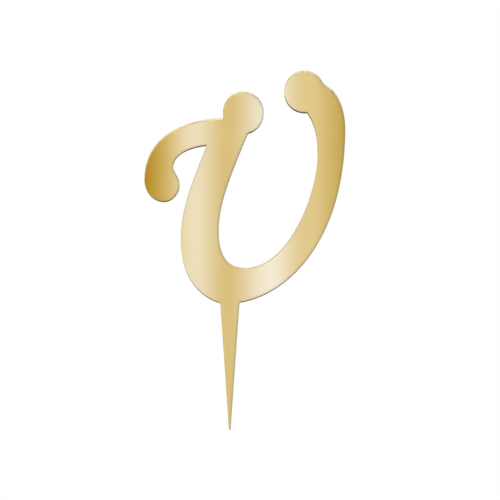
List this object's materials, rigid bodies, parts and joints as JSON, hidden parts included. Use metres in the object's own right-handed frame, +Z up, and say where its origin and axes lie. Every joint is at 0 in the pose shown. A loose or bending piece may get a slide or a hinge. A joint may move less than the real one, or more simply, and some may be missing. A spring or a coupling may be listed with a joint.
{
  "type": "cake topper",
  "caption": "Flat script letter in gold mirror acrylic with round ball ends, cut in one with a tapered stake that pushes into a cake.",
  "frame": {"origin": "on the stake's axis, halfway through the sheet, level with the lowest edge of the letter, where the top of the cake comes", "axes": "+Z up along the stake's axis and away from its tip, -Y out of the polished face, +X to the right as seen from the front"},
  "size_m": [0.0834, 0.003, 0.15],
  "materials": {
    "tinted_acrylic": "polished, see-through amber tint",
    "mirror_metal": "vacuum-deposited mirror",
    "back_paint": "sprayed matt paint"
  },
  "bodies": {
    "root": {"acrylic_sheet": "tinted_acrylic", "mirror_film": "mirror_metal", "back_coat": "back_paint"}
  },
  "joints": []
}
